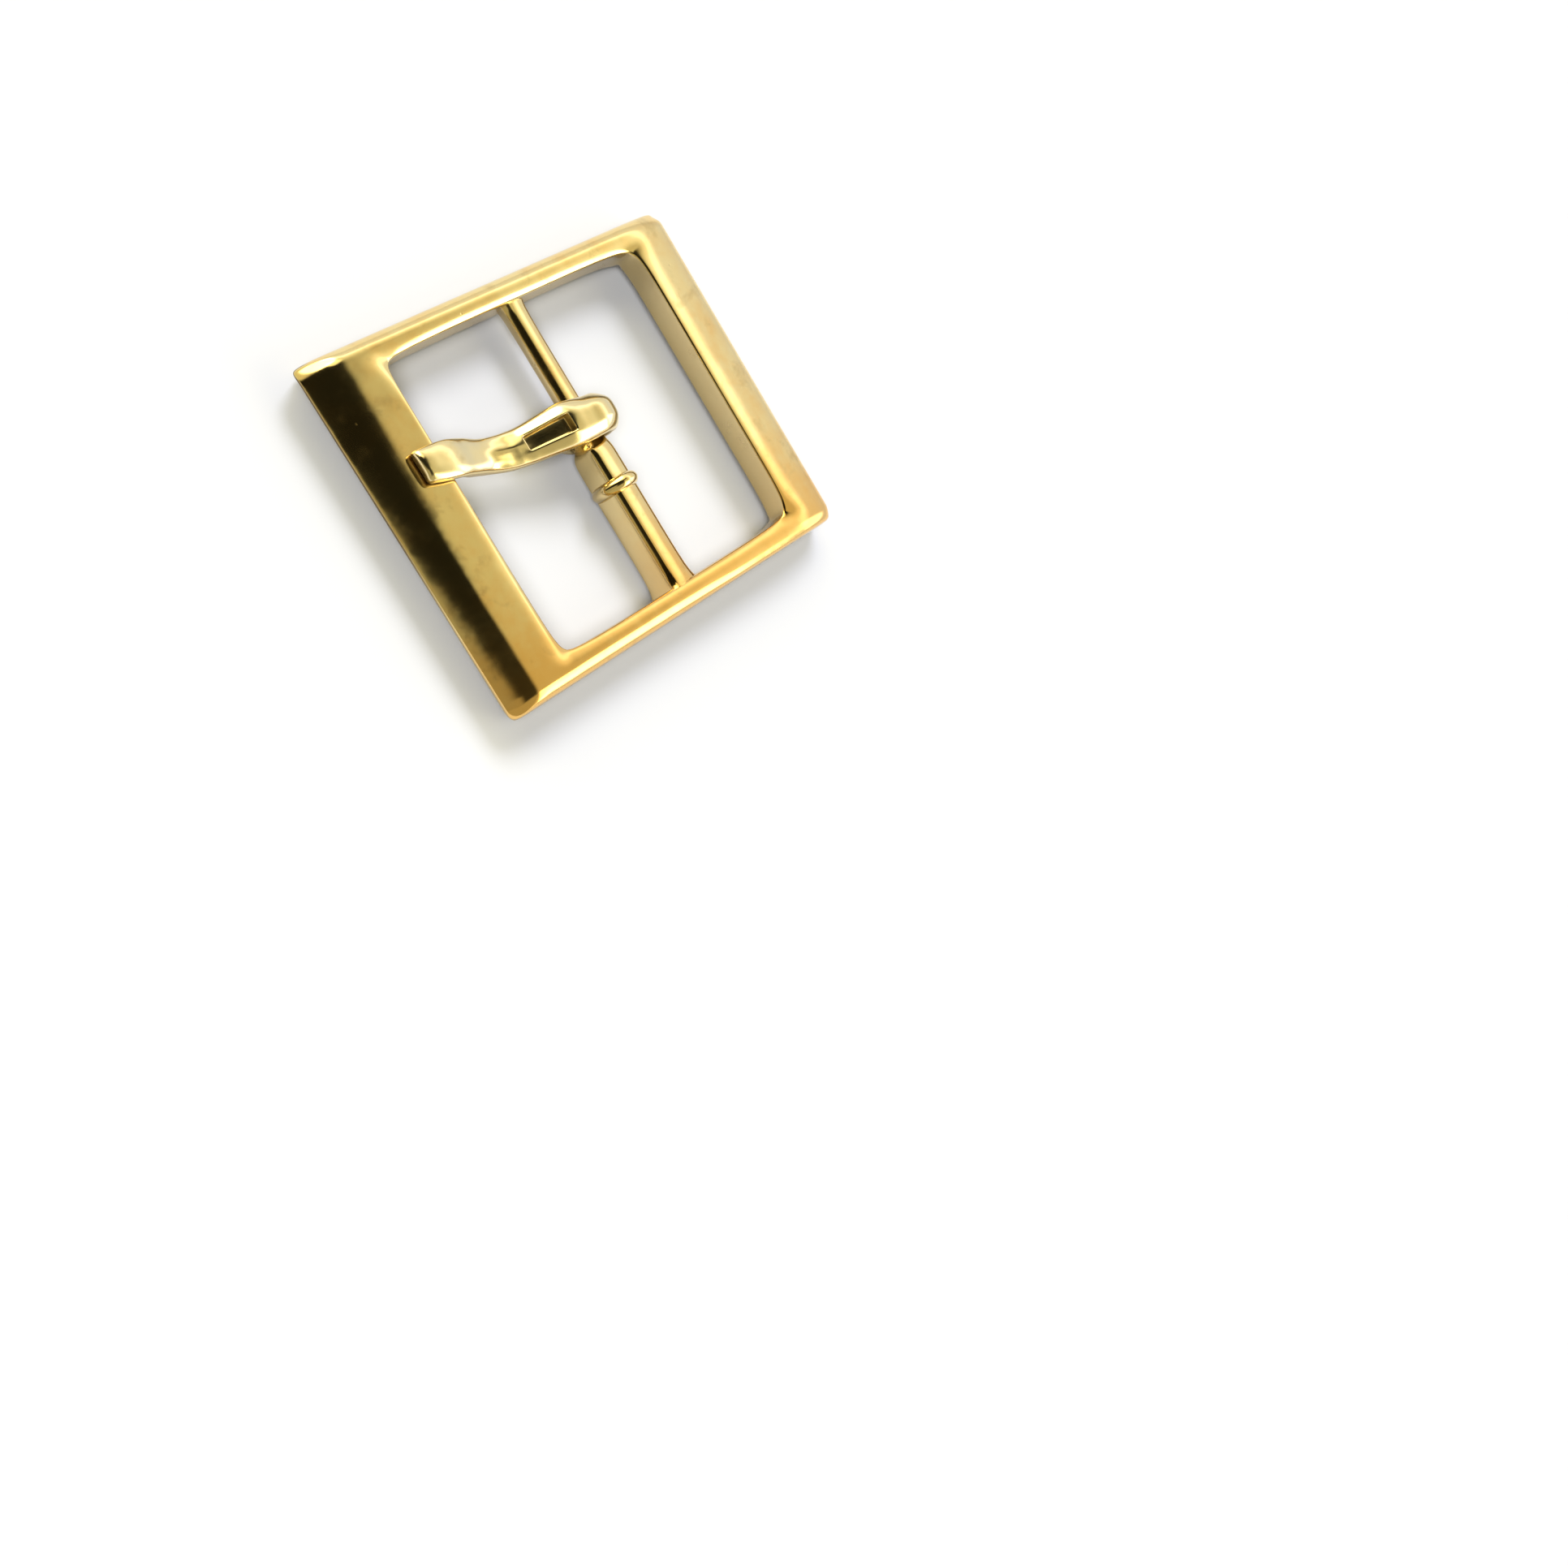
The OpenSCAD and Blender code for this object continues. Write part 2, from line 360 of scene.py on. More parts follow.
class NodeBench:
    """Builds one node tree."""

    def __init__(self, tree: bpy.types.NodeTree) -> None:
        """Empties a tree to build in it."""
        self.tree = tree
        tree.nodes.clear()

    def node(self, kind: str, settings: dict[str, Any] | None = None,
             inputs: dict[Any, Any] | None = None) -> bpy.types.Node:
        """Adds one node.

        Args:
            kind: the node's type.
            settings: its own settings, set before its sockets.
            inputs: a value, socket or Signal for each socket's name or number.

        Returns:
            The new node.
        """
        made = self.tree.nodes.new(kind)
        for key, value in (settings or {}).items():
            setattr(made, key, value)
        for key, value in (inputs or {}).items():
            if isinstance(value, Signal):
                value = value.socket
            if isinstance(value, bpy.types.NodeSocket):
                self.tree.links.new(value, made.inputs[key])
            else:
                made.inputs[key].default_value = value
        return made

    def parts(self, vector: Any) -> list[Signal]:
        """The three numbers of a vector."""
        split = self.node("ShaderNodeSeparateXYZ", None, {0: vector})
        return [Signal(self, out) for out in split.outputs]

    def blend(self, share: Any, first: Any, second: Any) -> Any:
        """Mixes two colours.

        Args:
            share: how much of the second.
            first: colour or socket.
            second: colour or socket.

        Returns:
            The mixed colour's socket.
        """
        colours = [(*c, 1) if isinstance(c, tuple) else c for c in (first, second)]
        made = self.node("ShaderNodeMix", {"data_type": "RGBA"}, dict(zip(MIX_SOCKETS, (share, *colours))))
        return made.outputs[MIX_RESULT]

    def noise(self, place: Any, cell: float, detail: float = 2.0, rough: float = 0.5,
              twist: float = 0.0) -> Signal:
        """Soft noise from 0 to 1.

        Args:
            place: the coordinates, in metres.
            cell: size of its cells, in metres.
            detail: octaves.
            rough: how strong the finer octaves are.
            twist: distortion.

        Returns:
            The noise.
        """
        made = self.node("ShaderNodeTexNoise", None, {
            "Vector": place, "Scale": 1 / cell, "Detail": detail, "Roughness": rough,
            "Distortion": twist})
        return Signal(self, made.outputs[0])


@dataclass(frozen=True)
class Plating:
    """Polished gold plate over a casting. Sizes are in millimetres."""

    name: str
    pale: Colour
    warm: Colour
    warm_side: float
    gloss: float
    ripple: float
    orange_peel: float
    smudge_colour: Colour = (0.42, 0.27, 0.09)
    flank_shade_colour: Colour = (0.56, 0.44, 0.23)
    edge_shade_colour: Colour = (0.13, 0.09, 0.04)
    pinhole_and_shade_colour: Colour = (0.10, 0.055, 0.02)
    cloud_size: float = 3.2
    mottle_size: float = 0.9
    smudge_size: float = 1.3
    swell_size: float = 2.4
    peel_size: float = 0.8
    pit_size: float = 0.74
    pit_deep: float = 0.006
    shade_reach: float = 0.9

    def material(self) -> bpy.types.Material:
        """Builds the finish.

        Returns:
            The material.
        """
        found = bpy.data.materials.new(self.name)
        found.use_nodes = True
        bench = NodeBench(found.node_tree)
        place = bench.node("ShaderNodeTexCoord").outputs["Object"]
        along_x, along_y = bench.parts(place)[:2]
        facing_up = bench.parts(bench.node("ShaderNodeTexCoord").outputs["Normal"])[2]
        mottle = bench.noise(place, self.mottle_size * MM, 4.0, 0.6)
        smudge = bench.noise(place, self.smudge_size * MM, 3.0, 0.6, 0.3).ease(0.55, 0.74)
        pits = self._pits(bench, place)
        hollow_shade = self._hollow_shade(bench)
        flank_shade = facing_up.ease(0.50, 0.12)

        # Warmer in clouds and towards the lowest Y, browner in smudges; faces that turn sideways get painted
        # shade
        clouds = bench.noise(place, self.cloud_size * MM, 3.0, 0.55, 0.6)
        side = (-along_y).ease(2 * MM, 9 * MM)
        warmth = (side * self.warm_side + clouds * 0.9 + mottle * 0.8 - 0.60).ease(0.0, 1.0)
        colour = bench.blend(warmth, self.pale, self.warm)
        colour = bench.blend(smudge * 0.30, colour, self.smudge_colour)
        # Painted shade: faces turned away from straight up are given a darker, browner colour
        colour = bench.blend(flank_shade * 0.85, colour, self.flank_shade_colour)
        # Painted shade: the undercut side of the wide end is darkened, most of all towards the highest Y
        edge_shade = (-along_x).ease(11.2 * MM, 11.5 * MM) * facing_up.ease(0.60, 0.35)
        colour = bench.blend(edge_shade * along_y.ease(-6 * MM, 1 * MM) * 0.9, colour, self.edge_shade_colour)
        # Pinholes, and painted shade in the hollows that the occlusion finds, are darkened to one brown
        colour = bench.blend((pits * 0.35).most(hollow_shade * 0.92), colour, self.pinhole_and_shade_colour)

        rough = mottle * 0.05 + smudge * 0.06 + flank_shade * 0.12 + pits * 0.15 + hollow_shade * 0.3 + (self.gloss - 0.02)
        shader = bench.node("ShaderNodeBsdfPrincipled", None, {
            "Base Color": colour, "Metallic": 1.0, "Roughness": rough,
            "Normal": self._relief(bench, place, pits)})
        bench.node("ShaderNodeOutputMaterial", None, {"Surface": shader.outputs[0]})
        return found

    def _pits(self, bench: NodeBench, place: Any) -> Signal:
        """Pinholes of the casting, few and small.

        Args:
            bench: the tree.
            place: object coordinates.

        Returns:
            1 in a pinhole, 0 beside it.
        """
        cells = bench.node("ShaderNodeTexVoronoi", {"feature": "F1"},
                           {"Vector": place, "Scale": 1 / (self.pit_size * MM)})
        inside = Signal(bench, cells.outputs["Distance"]).ease(0.11, 0.04)
        chance = bench.node("ShaderNodeSeparateColor", None, {0: cells.outputs["Color"]})
        return inside * Signal(bench, chance.outputs[0]).ease(0.93, 0.95)

    def _hollow_shade(self, bench: NodeBench) -> Signal:
        """Painted shade in the corners: 1 where the surface is hemmed in, 0 in the open."""
        hollow = bench.node("ShaderNodeAmbientOcclusion", {"samples": 8}, {"Distance": self.shade_reach * MM})
        return Signal(bench, hollow.outputs["AO"]).ease(0.55, 0.15)

    def _relief(self, bench: NodeBench, place: Any, pits: Signal) -> Any:
        """The polished surface's small waves, and its pinholes.

        Args:
            bench: the tree.
            place: object coordinates.
            pits: where the pinholes are.

        Returns:
            The bumped normal's socket.
        """
        swell = bench.noise(place, self.swell_size * MM, 1.0, 0.4)
        peel = bench.noise(place, self.peel_size * MM, 1.0, 0.5)
        height = swell * self.ripple + peel * self.orange_peel - pits * self.pit_deep
        bump = bench.node("ShaderNodeBump", None, {"Strength": 1.0, "Distance": MM, "Height": height})
        return bump.outputs[0]


FRAME_GOLD = Plating("frame_gold", (0.86, 0.68, 0.31), (0.84, 0.51, 0.155), 0.70, 0.11, 0.026, 0.004)
TONGUE_GOLD = Plating("tongue_gold", (0.87, 0.72, 0.38), (0.84, 0.62, 0.26), 0.15, 0.155, 0.03, 0.006)


@dataclass(frozen=True)
class Shoulder:
    """How far the outer front edge of one rail is drawn in along Y, and how far lowered.

    tip is at the edge of the wide end, rail beside the opening, and far past the bar.
    """

    side: int
    tip: tuple[float, float]
    rail: tuple[float, float]
    far: tuple[float, float]


SHOULDERS = (
    Shoulder(-1, (0.13, 0.15), (0.18, 0.24), (0.11, 0.15)),
    Shoulder(1, (0.08, 0.22), (0.24, 0.26), (0.24, 0.26)),
)


@dataclass
class FrameCasting:
    """The cast frame: two rails with rods behind, a wide and a narrow end bar, the bar and its collar.

    Lengths are in millimetres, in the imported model's frame.
    """

    low: Vector
    high: Vector
    bar: Vector
    rim_z: float = 2.55
    strap_half: float = 8.0
    front_gap: float = 8.66
    rear_gap: float = 8.29
    wide_bar_t: float = 1.29
    roll_w: float = 1.95
    roll_drop: float = 0.92
    narrow_bar_t: float = 1.7
    narrow_drop: float = 0.74
    narrow_back_fall: float = 0.35
    shoulder_z: float = 0.62
    shoulder_share: float = 0.45
    rod_chamfer: float = 0.38
    rod_slant: float = 1.2
    foot_z: float = 0.3
    front_edges_z: float = 1.4
    rim_round: float = 0.13
    back_round: float = 0.12
    crown_w: float = 0.42
    crown_drop: float = 0.20
    seat_drop: float = 0.10
    narrow_soft: float = 0.12
    edge_band: float = 0.3
    wide_undercut: tuple[float, float] = (0.34, 0.08)
    opening_turn: float = 0.75
    opening_draw: float = 0.296
    bar_root: float = 0.35
    bar_round: float = 0.22
    bar_edge_turn: float = 0.85
    slim_half: tuple[float, float] = (0.80, 0.50)
    stout_half: tuple[float, float] = (1.04, 0.80)
    stout_shift: float = 0.1
    step_y: float = 0.1
    collar_y: float = -2.2
    collar_half: float = 0.42
    collar_r: float = 1.35

    def __post_init__(self) -> None:
        """Works out the places that the driving sizes give."""
        self.open_x0 = self.bar.x - self.front_gap
        self.open_x1 = self.bar.x + self.rear_gap
        self.side_y = self.high.y
        self.back_z = self.rim_z - self.wide_bar_t
        self.wide_rows = [self.low.x + step for step in (0.13, 0.52, 1.0, 1.48, self.roll_w, 2.4)]
        self.inner_row = self.open_x0 - 0.38
        self.narrow_rows = [self.open_x1 + step for step in (0.8, 1.8, 2.55, 3.02)]
        self.side_row = self.side_y - 0.62
        self.crown_row = self.strap_half + self.crown_w
        self.fade_rows = (0.8, 3.2)
        self.middle_z = self.rim_z - self.shoulder_z

    def front_drop(self, x: float) -> float:
        """How far the front lies below the rim: the roll-off, or the convex narrow bar.

        Args:
            x: the place along X.

        Returns:
            The drop.
        """
        roll_from = self.low.x + self.roll_w
        past, width, drop = x - self.open_x1, self.high.x - self.open_x1, self.narrow_drop
        if x < roll_from:
            past, width, drop = roll_from - x, self.roll_w, self.roll_drop
        if past <= 0:
            return 0.0
        radius = (width ** 2 + drop ** 2) / (2 * drop)
        return radius - math.sqrt(radius ** 2 - past ** 2)

    def slab(self) -> Workpiece:
        """The flat ring: a block with rows of edges, and the opening cut through.

        Returns:
            The ring.
        """
        piece = Workpiece.block("frame_dress", (self.low.x, self.low.y, self.back_z),
                                (self.high.x, self.high.y, self.rim_z))
        turns = (self.open_x0 + self.opening_turn, self.open_x1 - self.opening_turn)
        piece.cut(Axis.X, [*self.wide_rows, self.inner_row, self.open_x0, turns[0], *self.fade_rows,
                           turns[1], self.open_x1, *self.narrow_rows])
        for side in (-1, 1):
            piece.cut(Axis.Y, [side * y for y in (
                4.0, self.strap_half - self.opening_turn, self.strap_half, self.crown_row, self.side_row)])
        piece.open_through(lambda face: abs(face.normal.z) > FLAT
                           and self.open_x0 < face.calc_center_median().x < self.open_x1
                           and abs(face.calc_center_median().y) < self.strap_half)
        piece.cut(Axis.Z, [self.middle_z])
        return piece

    def form_rods(self, piece: Workpiece) -> None:
        """Draws the rods down behind the rails, slanted at the wide end, and rounds their undersides.

        Args:
            piece: the ring.
        """
        piece.pull_faces(lambda face: face.normal.z < -FLAT
                         and abs(face.calc_center_median().y) > self.strap_half,
                         (0, 0, -self.back_z))
        foot_x = self.wide_rows[-1]
        reach = foot_x - self.low.x
        piece.squeeze(lambda p: p.z < SAME and p.x < foot_x + SAME,
                      ((reach - self.rod_slant) / reach, 1, 1), (foot_x, 0, 0))
        piece.pick(Part.FACES, lambda face: face.normal.z < -FLAT and face.calc_center_median().z < SAME)
        bpy.ops.mesh.region_to_loop()
        bpy.ops.mesh.bevel(offset=self.rod_chamfer, segments=1, affect="EDGES", clamp_overlap=False)

    def form_front(self, piece: Workpiece) -> None:
        """Lowers the front row by row: the roll-off at the wide end, the convex bar at the other.

        Args:
            piece: the ring.
        """
        share = (self.middle_z - self.back_z) / (self.rim_z - self.back_z)
        for x in [self.low.x, *self.wide_rows, *self.narrow_rows, self.high.x]:
            drop = self.front_drop(x)
            piece.shift(lambda p: near(p.x, x) and p.z > self.middle_z + SAME, (0, 0, -drop))
            piece.shift(lambda p: near(p.x, x) and near(p.z, self.middle_z), (0, 0, -drop * share))

    def form_backs(self, piece: Workpiece) -> None:
        """Thickens the narrow bar: its back slopes from the opening to the outer edge.

        Args:
            piece: the ring.
        """
        sink = self.narrow_bar_t - self.wide_bar_t
        for x in [self.open_x1, *self.narrow_rows, self.high.x]:
            share = (x - self.open_x1) / (self.high.x - self.open_x1)
            piece.shift(lambda p: near(p.x, x) and near(p.z, self.back_z)
                        and abs(p.y) < self.strap_half + SAME,
                        (0, 0, -sink - share * self.narrow_back_fall))

    def at_front(self, point: Vector) -> bool:
        """Whether a point lies on the front surface as form_front leaves it."""
        return point.z > self.rim_z - SAME - self.front_drop(point.x)

    def form_shoulders(self, piece: Workpiece) -> None:
        """Crowns the rails and softens the front edges all round.

        Args:
            piece: the ring.
        """
        piece.shift(lambda p: near(p.x, self.open_x0) and self.at_front(p)
                    and -self.strap_half + 0.1 < p.y < 0, (0, 0, -self.seat_drop))
        for shoulder in SHOULDERS:
            rim_y = shoulder.side * self.strap_half
            piece.shift(lambda p: near(p.y, rim_y) and self.at_front(p)
                        and self.open_x0 - SAME < p.x < self.open_x1 + SAME, (0, 0, -self.crown_drop))
            self.form_shoulder(piece, shoulder)
        piece.shift(lambda p: p.x > self.high.x - SAME
                    and p.z > self.rim_z - self.edge_band - self.front_drop(p.x),
                    (-self.narrow_soft, 0, -self.narrow_soft))

    def form_shoulder(self, piece: Workpiece, shoulder: Shoulder) -> None:
        """Softens the outer front edge of one rail, row by row at the wide end and then in one go.

        Args:
            piece: the ring.
            shoulder: the rail's side and how far its edge moves.
        """
        side = shoulder.side

        def outer(point: Vector) -> bool:
            """Whether a point lies on the rail's outside."""
            return point.y * side > self.side_y - SAME

        for x in [self.low.x, *self.wide_rows]:
            share = (x - self.low.x) / (self.wide_rows[-1] - self.low.x)
            fall_y, fall_z = (tip + (rail - tip) * share for tip, rail in zip(shoulder.tip, shoulder.rail))
            piece.shift(lambda p: outer(p) and near(p.x, x) and not self.at_front(p)
                        and p.z > self.back_z + 0.05, (0, 0, -fall_z * self.shoulder_share * (1 - share)))
            piece.shift(lambda p: outer(p) and near(p.x, x) and self.at_front(p),
                        (0, -side * fall_y, -fall_z))
        rail_from = self.wide_rows[-1] + SAME
        far_from = self.fade_rows[-1] - SAME
        for start, stop, (fall_y, fall_z) in ((rail_from, far_from, shoulder.rail),
                                              (far_from, math.inf, shoulder.far)):
            piece.shift(lambda p: outer(p) and start < p.x < stop and self.at_front(p),
                        (0, -side * fall_y, -fall_z))

    def undercut_end(self, piece: Workpiece) -> None:
        """Draws the lower edge of the wide end's side in, more at the end of highest Y.

        Args:
            piece: the ring.
        """
        most, least = self.wide_undercut
        for y in sorted({round(p.co.y, 4) for p in bmesh.from_edit_mesh(piece.body.data).verts}):
            share = (y + self.side_y) / (2 * self.side_y)
            piece.shift(lambda p: p.x < self.low.x + 0.1 and near(p.y, y, 0.001) and near(p.z, self.back_z),
                        (least + (most - least) * share, 0, 0))

    def form_corners(self, piece: Workpiece) -> None:
        """Draws the corners of the outline and of the opening in.

        Args:
            piece: the ring.
        """
        hole = self.opening_draw
        for side in (-1, 1):
            for x, inward in ((self.open_x0, hole), (self.open_x1, -hole)):
                piece.shift(lambda p: near(p.x, x) and near(p.y, side * self.strap_half)
                            and p.z > self.foot_z, (inward, -side * hole, 0))
            soft = 1.0 if side < 0 else 0.5
            # Columns: the row, how near to it a point counts, the draw along X and to the middle
            for x, gap, draw_x, draw_y in (
                    (self.low.x, SAME, 0.08 * soft, 0.25 * soft),
                    (self.wide_rows[0], SAME, 0.14 * soft, 0.07 * soft),
                    (self.wide_rows[1], SAME, 0.06 * soft, 0.0),
                    (self.high.x, 0.13, -0.12, 0.26),
                    (self.narrow_rows[-1], SAME, -0.07, 0.05)):
                piece.shift(lambda p: near(p.x, x, gap) and p.y * side > self.side_y - self.edge_band,
                            (draw_x, -side * draw_y, 0))

    def ring(self) -> Workpiece:
        """The ring with its rods, rounded all over.

        Returns:
            The ring.
        """
        piece = self.slab()
        self.form_rods(piece)
        self.form_front(piece)
        self.form_backs(piece)
        self.form_shoulders(piece)
        self.form_corners(piece)
        self.undercut_end(piece)
        piece.round_edges(lambda e: is_sharp(e) and middle_of(e).z > self.front_edges_z
                          and abs(middle_of(e).y) < self.strap_half + SAME
                          and self.open_x0 - SAME < middle_of(e).x < self.open_x1 + SAME,
                          self.rim_round, 2)
        piece.round_edges(lambda e: is_sharp(e) and self.foot_z < middle_of(e).z <= self.front_edges_z
                          and middle_of(e).x > self.low.x + 0.6, self.back_round, 2)
        piece.soften(3)
        return piece

    def middle_bar(self) -> Workpiece:
        """The bar: slim where the tongue turns and stout beside it, with flat-topped sections.

        Returns:
            The bar.
        """
        inner, root = self.strap_half, self.strap_half + self.bar_root
        x, z = self.bar.x, self.bar.z
        piece = Workpiece.block("bar_form", (x - 1, -root, z - 1), (x + 1, root, z + 1))
        step = 0.14
        # Columns: the place along Y, how much the section grows there
        rows = [(-root, 1.30), (-inner - 0.05, 1.18), (-inner + 0.35, 1.0), (-4.6, 1.0), (-1.2, 1.0),
                (self.step_y - step, 1.0), (self.step_y + step, 1.0), (1.6, 1.0), (4.6, 1.0),
                (inner - 0.35, 1.0), (inner + 0.05, 1.15), (root, 1.30)]
        piece.cut(Axis.Y, [y for y, grow in rows[1:-1]])
        ridge, corner, slim_from = 0.35, 0.9, 1.0
        piece.cut(Axis.X, [x - 0.3, x + ridge])
        # The section, 2 by 2 so far: low on the right, and cut away on the left where it is slim
        for test, by in (
                (lambda p: p.x > x + corner and p.z > z, (0, 0, -0.42)),
                (lambda p: near(p.x - x, ridge) and p.z > z, (0, 0, -0.08)),
                (lambda p: p.x < x - corner and p.z > z and p.y < slim_from, (0.36, 0, -0.04)),
                (lambda p: p.x < x - corner and p.z > z and p.y > slim_from, (0.24, 0, -0.45)),
                (lambda p: p.x < x - corner and p.z < z and p.y > slim_from, (0.50, 0, 0))):
            piece.shift(test, by)
        for y, grow in rows:
            stout = y < self.step_y
            half_w, half_h = self.stout_half if stout else self.slim_half
            piece.squeeze(lambda p: near(p.y, y, ROW), (half_w * grow, 1, half_h * grow), (x, y, z))
            if stout:
                piece.shift(lambda p: near(p.y, y, ROW), (-self.stout_shift, 0, 0))
        piece.round_edges(lambda e: abs(e.verts[0].co.y - e.verts[1].co.y) > SAME
                          and is_sharp(e, self.bar_edge_turn), self.bar_round, 2)
        piece.soften(3)
        return piece

    def collar(self) -> Workpiece:
        """The raised ring round the stout half of the bar.

        Returns:
            The collar.
        """
        half = self.collar_half
        # Columns: the place along Y from the collar's middle, the radius
        crest = [(-half, 0.80), (-0.36, 1.12), (-0.2, 1.28), (0.0, self.collar_r),
                 (0.2, 1.28), (0.36, 1.12), (half, 0.80)]
        x, middle_y, z = self.bar.x - self.stout_shift, self.collar_y, self.bar.z
        piece = Workpiece("collar_form", lambda: bpy.ops.mesh.primitive_cylinder_add(
            vertices=16, radius=self.collar_r, depth=2 * half, location=(x, middle_y, z),
            rotation=(math.pi / 2, 0, 0), end_fill_type="NGON"))
        piece.cut(Axis.Y, [middle_y + y for y, radius in crest[1:-1]])
        for y, radius in crest:
            grow = radius / self.collar_r
            piece.squeeze(lambda p: near(p.y - middle_y, y, ROW), (grow, 1, grow), (x, middle_y + y, z))
        piece.soften(2)
        return piece

    def build(self) -> bpy.types.Object:
        """Makes the casting and puts it in its place.

        Returns:
            The finished object.
        """
        piece = self.ring()
        piece.weld(self.middle_bar())
        piece.weld(self.collar())
        return piece.done("frame", "frame", "frame_gold", FRAME_GOLD)


@dataclass(frozen=True)
class Station:
    """One place along the tongue, told from the bar's axis.

    reach is towards the tip, middle and width are along Y, rise is the front face above the rim,
    lift raises the middle of the front face, pinch sinks its two edges, and crown is how far each
    half of the front face slopes down to its edge.
    """

    reach: float
    middle: float
    width: float
    rise: float
    lift: float = 0.0
    pinch: float = 0.0
    crown: float = 0.0


STRIP = (
    Station(-0.20, 1.28, 2.10, 0.83, 0, 0, 0.45),
    Station(0.70, 1.36, 2.30, 0.83, 0, 0, 0.40),
    Station(1.70, 1.46, 2.41, 0.80, 0, 0, 0.40),
    Station(2.90, 1.52, 2.20, 0.47, 0, 0, 0.40),
    Station(4.05, 1.58, 2.00, 0.12, 0.04, 0, 0.34),
    Station(4.80, 1.68, 1.94, -0.07, 0.16, 0, 0.22),
    Station(5.30, 1.77, 1.92, -0.15, 0.16, 0.02, 0.20),
    Station(6.20, 2.03, 1.86, -0.15, 0.10, 0.12, 0.16),
    Station(7.20, 2.30, 1.96, 0.16, 0.02, 0.04, 0.12),
    Station(8.30, 2.50, 1.98, 0.60, 0, 0, 0.18),
    Station(9.40, 2.64, 1.88, 0.73, 0, 0, 0.20),
    Station(10.30, 2.78, 1.66, 0.75, 0, 0, 0.20),
)


def strip_at(key: str, reach: float) -> float:
    """Reads a smooth curve through one column of the strip's stations.

    Args:
        key: the column's name.
        reach: where along the tongue.

    Returns:
        The column's value there.
    """
    last = len(STRIP) - 2
    at = next((i for i in range(last) if reach < STRIP[i + 1].reach), last)
    ends = [getattr(STRIP[max(0, min(len(STRIP) - 1, at + k))], key) for k in (-1, 0, 1, 2)]
    t = (reach - STRIP[at].reach) / (STRIP[at + 1].reach - STRIP[at].reach)
    t = max(0.0, min(1.0, t))
    p0, p1, p2, p3 = ends
    return p1 + 0.5 * t * (p2 - p0 + t * (2 * p0 - 5 * p1 + 4 * p2 - p3 + t * (3 * (p1 - p2) + p3 - p0)))


